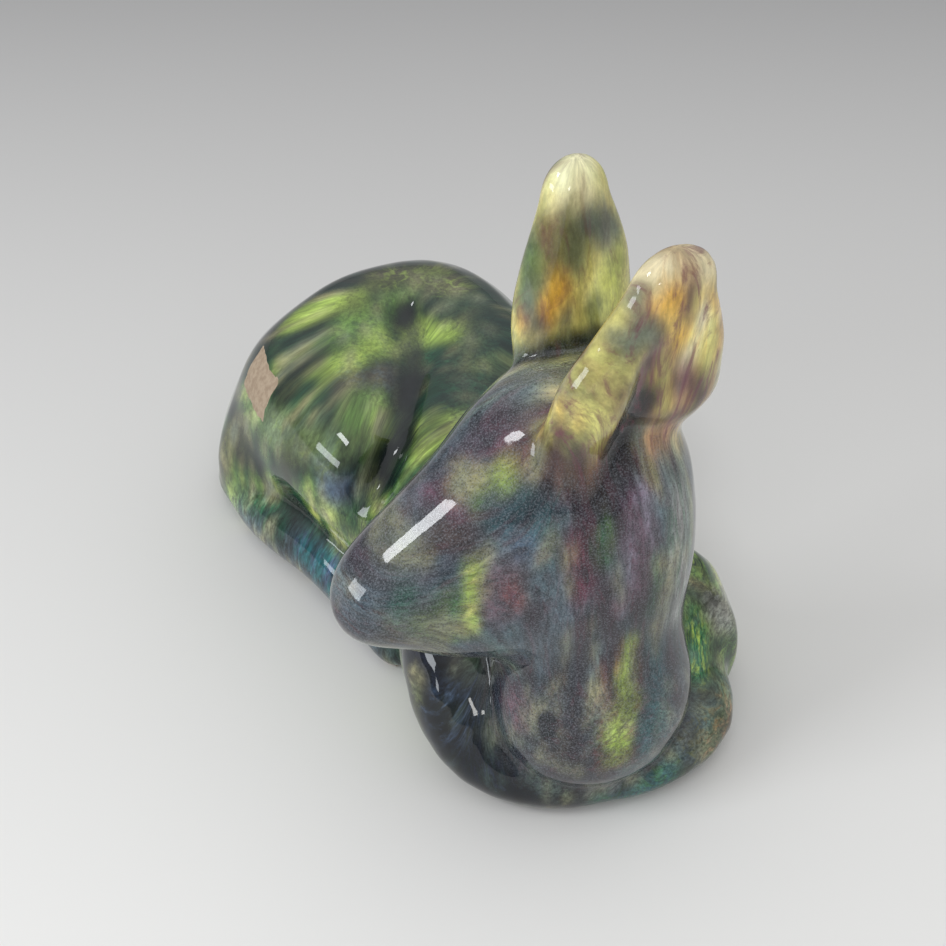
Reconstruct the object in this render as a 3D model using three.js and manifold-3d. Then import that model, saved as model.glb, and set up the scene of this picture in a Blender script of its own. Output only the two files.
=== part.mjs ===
// A fawn lying down with its head turned over its right shoulder: a hollow, slip-cast and glazed figurine.
// Millimetres, +Z up. The fawn faces -Y, its left side is +X, and its unglazed foot stands on Z = 0.
// Its clay pieces are cast or rolled one by one and luted together with slip before the glaze firing.
import * as THREE from "three";
import { mergeVertices } from "three/addons/utils/BufferGeometryUtils.js";
import Module from "manifold-3d";

const wasm = await Module();
wasm.setup();

// Clay and joints
const WALL = 4.5; // thickness of the cast clay
const SLIP_GAP = 0.3; // joint between two luted pieces
const DRAIN_HOLE = 14; // diameter of the hole in the underside
const DRAIN_Y = 10;

// Body forms, each an egg: its middle, then its full width, length and height
const RIBS = { x: 1, y: 4, z: 20, width: 46, length: 106, height: 56 };
const THIGH = { x: 15.5, y: 37, z: 29, width: 32, length: 59, height: 37 };
const KNEE_INSET = 11.5; // from the front end of the thigh to the middle of the knee
const LEFT_HOCK_INSET = 15.5; // and from its back end to the middle of the hock
const RIGHT_HOCK_INSET = 16;
const RUMP_INSET = 23; // and to the middle of the rump
const KNEE_Y = THIGH.y - THIGH.length / 2 + KNEE_INSET;
const LEFT_HOCK_Y = THIGH.y + THIGH.length / 2 - LEFT_HOCK_INSET;
const RIGHT_HOCK_Y = THIGH.y + THIGH.length / 2 - RIGHT_HOCK_INSET;
const RUMP_Y = THIGH.y + THIGH.length / 2 - RUMP_INSET;
const RUMP = { x: 0, y: RUMP_Y, z: 21, width: 58, length: 50, height: 60.5 };
const STIFLE = { x: 17.5, y: KNEE_Y, z: 33.5, width: 17, length: 22, height: 22 };
const LEFT_HOCK = { x: 20, y: LEFT_HOCK_Y, z: 14, width: 26, length: 32, height: 34 };
const RIGHT_HOCK = { x: 23, y: RIGHT_HOCK_Y, z: 11, width: 32, length: 35, height: 38 }; // weight spreads it
const LEFT_SHOULDER = { x: 22.5, y: -34, z: 9, width: 29, length: 32, height: 42 };
const RIGHT_SHOULDER = { x: -15, y: -25, z: 15, width: 24.5, length: 32, height: 37 };
const HIP_SHIFT = 2; // the rump lies a little to the left of the ribs
const HIP_ROLL = 10; // degrees; the fawn rests on its right thigh
const THIGH_TILT = 14; // degrees, knee up
const SOFT_CREASE = 8; // width over which neighbouring forms melt together
const HAUNCH_CREASE = 10; // between the haunches and the trunk
const SPINE_NICK = { x: 5, y: 36, z: 49.5 }; // where the groove round the right haunch starts
const LOIN_EDGE = { x: 1, y: 26, z: 48 };
const LOIN_TURN = { x: -3, y: 19, z: 46 };
const FLANK_EDGE = { x: -8, y: 12.5, z: 44.5 };
const FLANK_TURN = { x: -12, y: 8, z: 42.5 };
const KNEE_FRONT = { x: -16.5, y: 5.5, z: 37.5 };
const KNEE_EDGE = { x: -19, y: 5.5, z: 34 }; // where it ends
const FOLD_DEPTH = 3.4;
const FOLD_WIDTH = 3.2;
const FOLD = [SPINE_NICK, LOIN_EDGE, LOIN_TURN, FLANK_EDGE, FLANK_TURN, KNEE_FRONT, KNEE_EDGE];

// Head, in its own frame: x to its left, y to the back of the skull and z up, from between the ears
const POLL = { x: 1, y: -36, z: 68.5 };
const HEAD_TURN = 90; // degrees, towards the fawn's right
const HEAD_DIP = 19; // degrees, muzzle down
const SKULL = { x: 0, y: -5.5, z: 1, width: 30, length: 37, height: 37 };
const MUZZLE = { x: 0, y: -24.5, z: -1.5, width: 23, length: 40, height: 26.5 };
const NOSE = { x: 0, y: -41, z: -1, width: 13, length: 15.5, height: 13 };
const JAW = { x: 0, y: -24, z: -13, width: 24.5, length: 32, height: 20.5 };
const EYE = { x: 5.7, y: -25, z: 6.3, width: 6, length: 8.4, height: 6 };
const FACE_CREASE = 9;
const JOWL_CREASE = 12; // between the face and the neck
const EYE_CREASE = 1.5;

// Neck and breast, upright in the fawn's own frame
const NECK = { x: 0.4, y: -38.5, z: 48, width: 35, length: 35, height: 54 };
const BREAST = { x: -1.6, y: -44, z: 18.5, width: 38, length: 35, height: 36 };
const NECK_CREASE = 12;
const THROAT = { x: -27, z: 30 }; // the open corner between the jaw and the breast

// Ears, in the head's frame: roots, then leaves. The left ear stands a little further forward than the right.
const LEFT_EAR = { x: 11, y: 3, z: 4, splay: 4, lean: 21 }; // root, then degrees outwards and backwards
const RIGHT_EAR = { x: 11, y: 5, z: 4, splay: 4, lean: 19.5 };
const LEFT_LEAF_ROOT = { x: -6, y: -0.5, z: -2, width: 25, depth: 8 };
const LEFT_LEAF_BELLY = { x: -1.2, y: -2.6, z: 12, width: 31, depth: 12.5 };
const LEFT_LEAF_NECK = { x: 0, y: -1.2, z: 23, width: 25, depth: 10.5 };
const LEFT_LEAF_TIP = { x: 0, y: -0.2, z: 33, width: 15, depth: 7.5 };
const RIGHT_LEAF_ROOT = { x: -5, y: -1.4, z: -2, width: 21, depth: 9 };
const RIGHT_LEAF_BELLY = { x: -0.6, y: -0.7, z: 12, width: 21.5, depth: 12 };
const RIGHT_LEAF_NECK = { x: 0, y: 0, z: 23, width: 18.5, depth: 10 };
const RIGHT_LEAF_TIP = { x: 0, y: -0.3, z: 33, width: 11.5, depth: 7.5 };
const LEFT_LEAF = [LEFT_LEAF_ROOT, LEFT_LEAF_BELLY, LEFT_LEAF_NECK, LEFT_LEAF_TIP];
const RIGHT_LEAF = [RIGHT_LEAF_ROOT, RIGHT_LEAF_BELLY, RIGHT_LEAF_NECK, RIGHT_LEAF_TIP];
const EAR_ROOT_CAP = 3; // length of the rounded end
const EAR_TIP = 7;
const EAR_CUP = 4.5; // depth of the groove down the open side
const EAR_CUP_WIDTH = 0.36; // of half the ear's width
const EAR_CUP_SHIFT = 0.1; // of half the ear's width, to the front at the root

// Legs, each a roll of clay: places on its spine, with its width and depth there. Hind legs are a pair.
const LEFT_ELBOW = { x: 20, y: -30, z: 10, width: 18, depth: 20 };
const LEFT_FOREARM = { x: 21, y: -43, z: 8, width: 16, depth: 16 };
const LEFT_KNEE = { x: 18, y: -50.5, z: 5.5, width: 16, depth: 13.5 };
const LEFT_CANNON = { x: 6, y: -53.5, z: 5, width: 14.5, depth: 11.5 };
const LEFT_HOOF = { x: -2, y: -53, z: 5, width: 12.5, depth: 11 };
const RIGHT_ELBOW = { x: -17, y: -22, z: 25, width: 20, depth: 23.5 };
const RIGHT_FOREARM = { x: -21, y: -32, z: 17, width: 19, depth: 21.5 };
const RIGHT_KNEE = { x: -19, y: -40, z: 9, width: 18, depth: 17 };
const RIGHT_CANNON = { x: -11, y: -48, z: 6, width: 16, depth: 14.5 };
const RIGHT_HOOF = { x: -1, y: -52, z: 5, width: 14.5, depth: 11.5 };
const HIND_HEEL = { x: 27, y: 53, z: 4.5, width: 13, depth: 12 };
const HIND_SHANK = { x: 26, y: 37, z: 6.5, width: 15, depth: 16 };
const HIND_CANNON = { x: 22.5, y: 19, z: 7.5, width: 13.5, depth: 15.5 };
const HIND_HOOF = { x: 20, y: -6, z: 4.5, width: 11.5, depth: 11.5 };
const LEFT_FORELEG = [LEFT_ELBOW, LEFT_FOREARM, LEFT_KNEE, LEFT_CANNON, LEFT_HOOF];
const RIGHT_FORELEG = [RIGHT_ELBOW, RIGHT_FOREARM, RIGHT_KNEE, RIGHT_CANNON, RIGHT_HOOF];
const SHANK = [HIND_HEEL, HIND_SHANK, HIND_CANNON, HIND_HOOF];
const FORELEG_CAPS = { first: 5, last: 4 }; // lengths of the rounded ends
const SHANK_CAPS = { first: 8, last: 5 };

// Tail, pressed on the rump: how far below its root, with its width and depth there
const TAIL_ROOT = 31; // height
const TAIL_START = { down: 0, width: 7, depth: 5 };
const TAIL_SWELL = { down: 5, width: 9, depth: 6.5 };
const TAIL_TAPER = { down: 10, width: 8, depth: 6 };
const TAIL_END = { down: 14, width: 4.5, depth: 4 };
const TAIL = [TAIL_START, TAIL_SWELL, TAIL_TAPER, TAIL_END];
const TAIL_CAPS = { first: 3, last: 3 };

// Fineness of the surfaces
const FORM_POINTS = 42; // around a draped form
const HOLLOW_POINTS = 20; // around the hollow in it
const ROLL_POINTS = 18; // around a rolled piece
const SECTION_STEP = 2.6; // between two sections of a draped form
const FAN_STEP = 7; // degrees between two sections round the throat
const ROLL_STEPS = 3; // rings between two stations of a rolled piece
const CAP_STEPS = 5; // rings in each rounded end
const RAY_STEP = 1.5;
const BISECTIONS = 12;
const SLIVER = 1; // a form thinner than twice this has no section
const WELD = 1e-3;
const BLOCK = 400; // a block larger than the figurine

const radians = THREE.MathUtils.degToRad;
const vec = (x, y, z) => new THREE.Vector3(x, y, z);
const moved = ({ x, y, z }) => new THREE.Matrix4().makeTranslation(x, y, z);
const turned = (axis, degrees) => new THREE.Matrix4().makeRotationAxis(axis, radians(degrees));
const X = vec(1, 0, 0);
const Y = vec(0, 1, 0);
const Z = vec(0, 0, 1);

function solidOf(geometry) {
  const bare = geometry.clone();
  bare.deleteAttribute("normal");
  bare.deleteAttribute("uv");
  const merged = mergeVertices(bare, WELD);
  const mesh = new wasm.Mesh({
    numProp: 3,
    vertProperties: merged.attributes.position.array,
    triVerts: new Uint32Array(merged.index.array),
  });
  return new wasm.Manifold(mesh);
}

function geometryOf(solid) {
  const mesh = solid.getMesh();
  const geometry = new THREE.BufferGeometry();
  geometry.setAttribute("position", new THREE.BufferAttribute(new Float32Array(mesh.vertProperties), 3));
  geometry.setIndex(new THREE.BufferAttribute(new Uint32Array(mesh.triVerts), 1));
  geometry.computeVertexNormals();
  return geometry;
}

// Closes a stack of rings into one surface, with a point at each end.
function stitch(rings, first, last) {
  const around = rings[0].length;
  const points = [first, ...rings.flat(), last];
  const end = points.length - 1;
  const index = [];
  const at = (ring, i) => 1 + ring * around + (i % around);
  for (let i = 0; i < around; i++) {
    index.push(0, at(0, i), at(0, i + 1));
    index.push(end, at(rings.length - 1, i + 1), at(rings.length - 1, i));
    for (let r = 0; r + 1 < rings.length; r++) {
      index.push(at(r, i), at(r + 1, i), at(r + 1, i + 1));
      index.push(at(r, i), at(r + 1, i + 1), at(r, i + 1));
    }
  }
  const geometry = new THREE.BufferGeometry().setFromPoints(points);
  geometry.setIndex(index);
  return geometry;
}

// An egg of clay: how far a point is from its surface, negative inside. side -1 puts it on the right.
function egg({ x, y, z, width, length, height }, side = 1, frame = new THREE.Matrix4()) {
  const inverse = frame.clone().multiply(moved({ x: side * x, y, z })).invert();
  const [a, b, c] = [width / 2, length / 2, height / 2];
  const p = vec();
  return (point) => {
    p.copy(point).applyMatrix4(inverse);
    const reachOut = Math.hypot(p.x / a, p.y / b, p.z / c);
    const slope = Math.hypot(p.x / a ** 2, p.y / b ** 2, p.z / c ** 2);
    return slope > 0 ? (reachOut * (reachOut - 1)) / slope : -Math.min(a, b, c);
  };
}

// Forms pressed together, with the creases between them filled over a width.
function pressed(crease, ...forms) {
  const merge = (a, b) => {
    const fill = Math.max(crease - Math.abs(a - b), 0) / crease;
    return Math.min(a, b) - (fill * fill * crease) / 4;
  };
  return (point) => forms.map((form) => form(point)).reduce(merge);
}

// A groove tooled into a form along a line of points.
function scored(form, line, depth, width) {
  const bends = line.map(({ x, y, z }) => vec(x, y, z));
  const path = new THREE.CatmullRomCurve3(bends, false, "centripetal").getSpacedPoints(FORM_POINTS);
  return (point) => {
    let nearest = Infinity;
    for (const place of path) nearest = Math.min(nearest, place.distanceToSquared(point));
    return form(point) + depth * Math.exp(-nearest / width ** 2);
  };
}

// How far a form reaches from a point inside it, along a direction, up to a level off its surface.
function reach(form, level, from, direction) {
  const over = (t) => form(from.clone().addScaledVector(direction, t)) - level;
  let inside = 0;
  while (over(inside + RAY_STEP) < 0) inside += RAY_STEP;
  let outside = inside + RAY_STEP;
  for (let k = 0; k < BISECTIONS; k++) {
    const middle = (inside + outside) / 2;
    if (over(middle) < 0) inside = middle;
    else outside = middle;
  }
  return outside;
}

// A skin draped over a form: rays leave each section's middle and stop where the form ends.
// A section is { at, facing, side }: its middle, the way its plane faces and a direction in that plane.
function drape(form, sections, level = 0, around = FORM_POINTS) {
  const usable = sections.filter(({ at }) => form(at) < level - SLIVER);
  const rings = [];
  const ring = ({ at, facing, side }, tilt) => {
    const other = vec().crossVectors(side, facing).normalize();
    const points = [];
    for (let i = 0; i < around; i++) {
      const angle = (2 * Math.PI * i) / around;
      const ray = side.clone().multiplyScalar(Math.cos(angle)).addScaledVector(other, Math.sin(angle));
      ray.multiplyScalar(Math.cos(tilt)).addScaledVector(facing, Math.sin(tilt));
      points.push(at.clone().addScaledVector(ray, reach(form, level, at, ray)));
    }
    rings.push(points);
  };
  const start = usable[0];
  const finish = usable[usable.length - 1];
  const tilt = (k) => (Math.PI / 2) * (1 - k / CAP_STEPS);
  for (let k = 1; k < CAP_STEPS; k++) ring(start, -tilt(k));
  for (const section of usable) ring(section, 0);
  for (let k = CAP_STEPS - 1; k > 0; k--) ring(finish, tilt(k));
  const back = start.facing.clone().negate();
  const first = start.at.clone().addScaledVector(back, reach(form, level, start.at, back));
  const last = finish.at.clone().addScaledVector(finish.facing, reach(form, level, finish.at, finish.facing));
  return solidOf(stitch(rings, first, last));
}

// A roll of clay along a spine, rounded at both ends. Its width lies square to the spine and to "up".
// grow swells it all round, for the cut in a neighbour.
function roll(stations, { up = Z, caps, dish, place, grow = 0 }) {
  const places = stations.map(({ x, y, z }) => vec(x, y, z));
  const halves = stations.map(({ width, depth }) => vec(width / 2 + grow, depth / 2 + grow, 0));
  const spine = new THREE.CatmullRomCurve3(places, false, "centripetal");
  const sizes = new THREE.CatmullRomCurve3(halves);
  const count = (stations.length - 1) * ROLL_STEPS;
  const rings = [];
  const ring = (t, slide, scale) => {
    const tangent = spine.getTangent(t);
    const middle = spine.getPoint(t).addScaledVector(tangent, slide);
    const side = vec().crossVectors(tangent, up).normalize();
    const top = vec().crossVectors(side, tangent).normalize();
    const size = sizes.getPoint(t).multiplyScalar(scale);
    const points = [];
    for (let i = 0; i < ROLL_POINTS; i++) {
      const angle = (2 * Math.PI * i) / ROLL_POINTS;
      const across = size.x * Math.cos(angle);
      const deep = size.y * Math.sin(angle) - (dish ? dish(angle, t) * scale : 0);
      points.push(middle.clone().addScaledVector(side, across).addScaledVector(top, deep));
    }
    rings.push(points);
  };
  const [tail, nose] = [caps.first + grow, caps.last + grow];
  const tilt = (k) => (Math.PI / 2) * (1 - k / CAP_STEPS);
  for (let k = 1; k < CAP_STEPS; k++) ring(0, -tail * Math.sin(tilt(k)), Math.cos(tilt(k)));
  for (let k = 0; k <= count; k++) ring(k / count, 0, 1);
  for (let k = CAP_STEPS - 1; k > 0; k--) ring(1, nose * Math.sin(tilt(k)), Math.cos(tilt(k)));
  const first = spine.getPoint(0).addScaledVector(spine.getTangent(0), -tail);
  const last = spine.getPoint(1).addScaledVector(spine.getTangent(1), nose);
  const geometry = stitch(rings, first, last);
  if (place) geometry.applyMatrix4(place);
  return solidOf(geometry);
}

// Body form: ribs and shoulders, and the haunches, which roll together about the middle of the rump.
const hips = moved({ x: HIP_SHIFT, y: 0, z: THIGH.z })
  .multiply(turned(Y, -HIP_ROLL))
  .multiply(moved({ x: 0, y: 0, z: -THIGH.z }));

function thigh(side) {
  const hip = moved({ ...THIGH, x: side * THIGH.x });
  const frame = hips.clone().multiply(hip).multiply(turned(X, -THIGH_TILT));
  return egg({ ...THIGH, x: 0, y: 0, z: 0 }, side, frame);
}

function bodyForm() {
  const haunches = [egg(RUMP, 1, hips)];
  for (const side of [1, -1]) haunches.push(thigh(side), egg(STIFLE, side, hips));
  haunches.push(egg(LEFT_HOCK, 1, hips), egg(RIGHT_HOCK, -1, hips));
  const trunk = pressed(SOFT_CREASE, egg(RIBS), egg(LEFT_SHOULDER), egg(RIGHT_SHOULDER));
  const whole = pressed(HAUNCH_CREASE, pressed(SOFT_CREASE, ...haunches), trunk);
  return scored(whole, FOLD, FOLD_DEPTH, FOLD_WIDTH);
}

// Sections cross the body from the shoulders to the rump.
function bodySections() {
  const sections = [];
  const front = LEFT_SHOULDER.y;
  const back = RUMP.y + RUMP.length / 4;
  for (let y = front; y <= back; y += SECTION_STEP) {
    sections.push({ at: vec(0, y, RIBS.z), facing: Y, side: Z });
  }
  return sections;
}

// Head form: skull, muzzle, nose, jaw and low eyes on the turned neck, with the breast below.
const head = moved(POLL).multiply(turned(Z, -HEAD_TURN)).multiply(turned(X, HEAD_DIP));

function headForm() {
  const face = pressed(FACE_CREASE, ...[SKULL, MUZZLE, NOSE, JAW].map((form) => egg(form, 1, head)));
  const chest = pressed(NECK_CREASE, egg(NECK), egg(BREAST));
  const eyes = [1, -1].map((side) => egg(EYE, side, head));
  return pressed(EYE_CREASE, pressed(JOWL_CREASE, face, chest), ...eyes);
}

// Sections climb the neck, fan round the open corner of the throat and run on along the muzzle.
function headSections() {
  const side = Y.clone().negate();
  const sections = [];
  for (let z = BREAST.z; z < THROAT.z; z += SECTION_STEP) {
    sections.push({ at: vec(BREAST.x, BREAST.y, z), facing: Z, side });
  }
  const nose = vec(NOSE.x, NOSE.y, NOSE.z).applyMatrix4(head);
  const bend = new THREE.CatmullRomCurve3([
    vec(BREAST.x, BREAST.y, THROAT.z),
    vec(NECK.x, NECK.y, NECK.z),
    vec(POLL.x, POLL.y, POLL.z),
    nose,
  ]);
  const corner = vec(THROAT.x, 0, THROAT.z);
  const path = bend.getPoints(FORM_POINTS * FORM_POINTS);
  for (let angle = 0; ; angle += FAN_STEP) {
    const facing = vec(-Math.sin(radians(angle)), 0, Math.cos(radians(angle)));
    const at = path.find((point) => facing.dot(point.clone().sub(corner)) >= 0);
    if (!at) return sections;
    sections.push({ at, facing, side });
  }
}

// Ears: leaves of clay with a groove down the open side, deepest where they join the skull.
function ear(side, { x, y, z, splay, lean }, leaf) {
  const dish = (angle, t) => {
    const open = Math.sin(angle) > 0 ? EAR_CUP * Math.cos((Math.PI * t) / 2) : 0;
    const across = Math.cos(angle) + side * EAR_CUP_SHIFT * (1 - t);
    return open * Math.exp(-((across / EAR_CUP_WIDTH) ** 2));
  };
  const place = head
    .clone()
    .multiply(moved({ x: side * x, y, z }))
    .multiply(turned(Y, side * splay))
    .multiply(turned(X, -lean));
  const stations = leaf.map((station) => ({ ...station, x: side * station.x }));
  const caps = { first: EAR_ROOT_CAP, last: EAR_TIP };
  return roll(stations, { up: X.clone().multiplyScalar(side), caps, dish, place });
}

// Forelegs: folded under the breast, knees out and hooves in.
const leftForeleg = (grow = 0) => roll(LEFT_FORELEG, { caps: FORELEG_CAPS, grow });
const rightForeleg = () => roll(RIGHT_FORELEG, { caps: FORELEG_CAPS });

// Hind legs: each shank lies along the ground from the hock to the hoof.
function hindLeg(side) {
  const stations = SHANK.map((station) => ({ ...station, x: side * station.x }));
  return roll(stations, { caps: SHANK_CAPS });
}

// Tail: it follows the back of the rump from its root to its tip.
function tail(form) {
  const stations = TAIL.map(({ down, width, depth }) => {
    const start = vec(HIP_SHIFT, RUMP.y, TAIL_ROOT - down);
    const surface = start.y + reach(form, 0, start, Y);
    return { x: HIP_SHIFT, y: surface, z: start.z, width, depth };
  });
  return roll(stations, { up: Y, caps: TAIL_CAPS });
}

// The ground cuts everything off at Z = 0, which leaves the flat foot; the body's floor is a wall thick.
const slab = (top) => solidOf(new THREE.BoxGeometry(BLOCK, BLOCK, BLOCK).translate(0, 0, top - BLOCK / 2));
const ground = slab(0);

function drain() {
  const bore = new THREE.CylinderGeometry(DRAIN_HOLE / 2, DRAIN_HOLE / 2, 3 * WALL, FORM_POINTS);
  return solidOf(bore.rotateX(Math.PI / 2).translate(0, DRAIN_Y, 0));
}

// Cast pieces: the clay within a wall of the surface is poured out again, through the neck and the drain.
const trunkForm = bodyForm();
const trunkSections = bodySections();
const neckForm = headForm();
const neckSections = headSections();
const trunkCut = drape(trunkForm, trunkSections, SLIP_GAP);
const neckCut = drape(neckForm, neckSections, SLIP_GAP);
const everySecond = (sections) => sections.filter((section, i) => i % 2 === 0);
const trunkHollow = drape(trunkForm, everySecond(trunkSections), -WALL, HOLLOW_POINTS).subtract(slab(WALL));
const neckHollow = drape(neckForm, everySecond(neckSections), -WALL, HOLLOW_POINTS);
const trunkShell = drape(trunkForm, trunkSections).subtract(trunkHollow);
const bodySolid = trunkShell.subtract(neckHollow).subtract(drain());
const headSolid = drape(neckForm, neckSections).subtract(neckHollow).subtract(trunkCut);

const glazed = (color) => new THREE.MeshStandardMaterial({ color, roughness: 0.12, metalness: 0 });
const oliveGlaze = glazed(0x55673a);
const slateGlaze = glazed(0x4f5666);
const amberGlaze = glazed(0x9a8a4c);
const inkGlaze = glazed(0x39464f);

const fawn = new THREE.Group();
function luted(name, solid, material, ...neighbours) {
  const trimmed = neighbours.reduce((rest, neighbour) => rest.subtract(neighbour), solid).subtract(ground);
  const mesh = new THREE.Mesh(geometryOf(trimmed), material);
  mesh.name = name;
  fawn.add(mesh);
}

luted("body", bodySolid, oliveGlaze);
luted("head", headSolid, slateGlaze);
luted("left_ear", ear(1, LEFT_EAR, LEFT_LEAF), amberGlaze, neckCut);
luted("right_ear", ear(-1, RIGHT_EAR, RIGHT_LEAF), amberGlaze, neckCut);
luted("left_foreleg", leftForeleg(), inkGlaze, trunkCut, neckCut);
luted("right_foreleg", rightForeleg(), inkGlaze, trunkCut, neckCut, leftForeleg(SLIP_GAP));
luted("left_hind_leg", hindLeg(1), inkGlaze, trunkCut);
luted("right_hind_leg", hindLeg(-1), inkGlaze, trunkCut);
luted("tail", tail(trunkForm), oliveGlaze, trunkCut);

// The origin is on the ground, at the middle of the figurine's box.
const box = new THREE.Box3().setFromObject(fawn);
const middle = box.getCenter(vec());
fawn.position.set(-middle.x, -middle.y, -box.min.z);
fawn.updateMatrixWorld(true);

export default fawn;
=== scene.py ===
# A glazed ceramic fawn lying down, its head turned over its right shoulder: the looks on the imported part.
# Metres, in the part's own frame: +Z up, the chest towards -Y, the muzzle towards -X.
import math

import bmesh
import bpy
import numpy as np
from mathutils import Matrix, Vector, noise
from mathutils.bvhtree import BVHTree


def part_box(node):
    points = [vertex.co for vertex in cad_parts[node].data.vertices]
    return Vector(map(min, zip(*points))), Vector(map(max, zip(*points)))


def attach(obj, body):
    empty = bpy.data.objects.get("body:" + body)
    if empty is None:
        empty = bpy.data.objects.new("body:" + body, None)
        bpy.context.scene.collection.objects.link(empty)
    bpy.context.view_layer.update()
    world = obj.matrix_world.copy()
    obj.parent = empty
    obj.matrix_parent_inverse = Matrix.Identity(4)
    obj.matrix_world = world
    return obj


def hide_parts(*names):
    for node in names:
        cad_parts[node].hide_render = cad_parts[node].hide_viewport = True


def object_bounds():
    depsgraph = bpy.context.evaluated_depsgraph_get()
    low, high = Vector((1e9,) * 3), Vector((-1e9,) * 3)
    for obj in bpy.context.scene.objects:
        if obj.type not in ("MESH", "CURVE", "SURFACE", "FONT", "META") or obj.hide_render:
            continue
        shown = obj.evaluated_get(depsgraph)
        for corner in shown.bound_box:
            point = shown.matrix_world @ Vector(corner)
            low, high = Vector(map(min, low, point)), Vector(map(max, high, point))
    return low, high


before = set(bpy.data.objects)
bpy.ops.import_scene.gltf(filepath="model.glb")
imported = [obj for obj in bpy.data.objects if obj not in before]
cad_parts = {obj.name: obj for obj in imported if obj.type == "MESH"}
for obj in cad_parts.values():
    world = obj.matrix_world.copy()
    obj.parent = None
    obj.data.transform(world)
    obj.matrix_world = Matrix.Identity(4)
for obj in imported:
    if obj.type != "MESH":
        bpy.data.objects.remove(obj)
cad_low, cad_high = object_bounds()
cad_box = [list(cad_low), list(cad_high)]

# The camera looks down on the fawn's right front from 28 cm away, as a phone in the hand does.
camera = bpy.data.objects.new("camera", bpy.data.cameras.new("camera"))
bpy.context.scene.collection.objects.link(camera)
bpy.context.scene.camera = camera
look_at = Vector((0.00401, -0.0050, 0.035))
azimuth, elevation, distance = math.radians(-30), math.radians(42), 0.28
backwards = Vector(
    (
        math.sin(azimuth) * math.cos(elevation),
        -math.cos(azimuth) * math.cos(elevation),
        math.sin(elevation),
    )
)
camera.location = look_at + backwards * distance
camera.rotation_euler = backwards.to_track_quat("Z", "Y").to_euler()
camera.data.sensor_width = 36
camera.data.angle = math.radians(36)
camera.data.clip_start = 0.01

# The glaze runs over all nine clay pieces in one coat and fills the joints between them, so its outer face
# is drawn first, whole. The pieces swell until they meet, the drain is stopped up and the coat is laid over.
swell = 0.0002
weld = 1e-5
coat_grain = 0.00072
drain = Vector((0.00401, 0.0050, 0))
drain_radius = 0.007
plug_radius, plug_depth = 0.0085, 0.005
cast = bmesh.new()
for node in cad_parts.values():
    cast.from_mesh(node.data)
bmesh.ops.remove_doubles(cast, verts=cast.verts, dist=weld)
cast.normal_update()
for vert in cast.verts:
    vert.co += vert.normal * swell
plug = bmesh.ops.create_cone(
    cast, cap_ends=True, segments=32, radius1=plug_radius, radius2=plug_radius, depth=plug_depth
)
bmesh.ops.translate(cast, verts=plug["verts"], vec=drain + Vector((0, 0, plug_depth / 2)))
coat_mesh = bpy.data.meshes.new("coat")
cast.to_mesh(coat_mesh)
cast.free()
coat = bpy.data.objects.new("coat", coat_mesh)
bpy.context.scene.collection.objects.link(coat)
drawn = coat.modifiers.new("drawn", "REMESH")
drawn.mode = "VOXEL"
drawn.voxel_size = coat_grain
bpy.context.view_layer.update()
coat_mesh = bpy.data.meshes.new_from_object(coat.evaluated_get(bpy.context.evaluated_depsgraph_get()))
bpy.data.objects.remove(coat)

# The coat was laid over both sides of the clay. What it left inside, round the hollow, is taken away: only
# the skin that reaches the ears' tips stays.
skin = bmesh.new()
skin.from_mesh(coat_mesh)
top = max(skin.verts, key=lambda vert: vert.co.z)
reached, edge_of_reach = {top}, [top]
while edge_of_reach:
    vert = edge_of_reach.pop()
    for edge in vert.link_edges:
        other = edge.other_vert(vert)
        if other not in reached:
            reached.add(other)
            edge_of_reach.append(other)
bmesh.ops.delete(skin, geom=[vert for vert in skin.verts if vert not in reached], context="VERTS")
bmesh.ops.triangulate(skin, faces=[face for face in skin.faces if len(face.verts) != 4])
skin.to_mesh(coat_mesh)
skin.free()

places = np.empty(len(coat_mesh.vertices) * 3)
coat_mesh.vertices.foreach_get("co", places)
places = places.reshape(-1, 3)
ends = np.empty(len(coat_mesh.edges) * 2, int)
coat_mesh.edges.foreach_get("vertices", ends)
ends = ends.reshape(-1, 2)
neighbours = np.bincount(ends.ravel(), minlength=len(places))


def mean_of_neighbours(values):
    total = np.zeros_like(values)
    for axis in range(values.shape[1]):
        column = values[:, axis]
        total[:, axis] = np.bincount(ends[:, 0], column[ends[:, 1]], len(values))
        total[:, axis] += np.bincount(ends[:, 1], column[ends[:, 0]], len(values))
    return total / neighbours[:, None]


def near(points, line, radius):
    """How near each point lies to a line of places in millimetres: 1 on it, 0 from the radius outwards."""
    line = np.array(line) * 0.001
    nearest = np.linalg.norm(points - line[0], axis=1)
    for start, end in zip(line[:-1], line[1:]):
        way = end - start
        along = np.clip((points - start) @ way / (way @ way), 0, 1)
        nearest = np.minimum(nearest, np.linalg.norm(points - start - along[:, None] * way, axis=1))
    share = np.clip(1 - nearest / (radius * 0.001), 0, 1)
    return share * share * (3 - 2 * share)


# Molten glaze draws itself smooth. It stays crisp where two forms meet in a tight corner, melts away the step
# at the ear's front root, and lies flatter along the bridge of the nose.
breast_edge = [(-15, -44, 27), (-15.6, -46, 24), (-15, -52, 17), (-11, -58, 11), (-3, -63, 7)]
breast_edge += [(6, -65, 8), (20, -57, 12)]
ear_corner = [(-5, -31, 82), (0, -35.5, 86), (5, -36.5, 86.5), (12, -36, 85)]
throat_corner = [(-22, -52, 43), (-15, -46, 36), (-14.5, -42, 28)]
bridge = [(-10, -43.5, 81), (-20, -44.5, 73), (-29, -45, 66), (-36, -44.5, 59)]
ear_step = [(-9.5, -55, 86), (-7, -57, 80), (0, -55, 76), (8, -53, 76)]
drawing_rounds, melting_rounds = 60, 110
crisp = 0.75 * near(places, breast_edge, 5)
crisp = np.maximum(crisp, 0.85 * near(places, ear_corner, 4))
crisp = np.maximum(crisp, 0.7 * near(places, throat_corner, 6))
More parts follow.
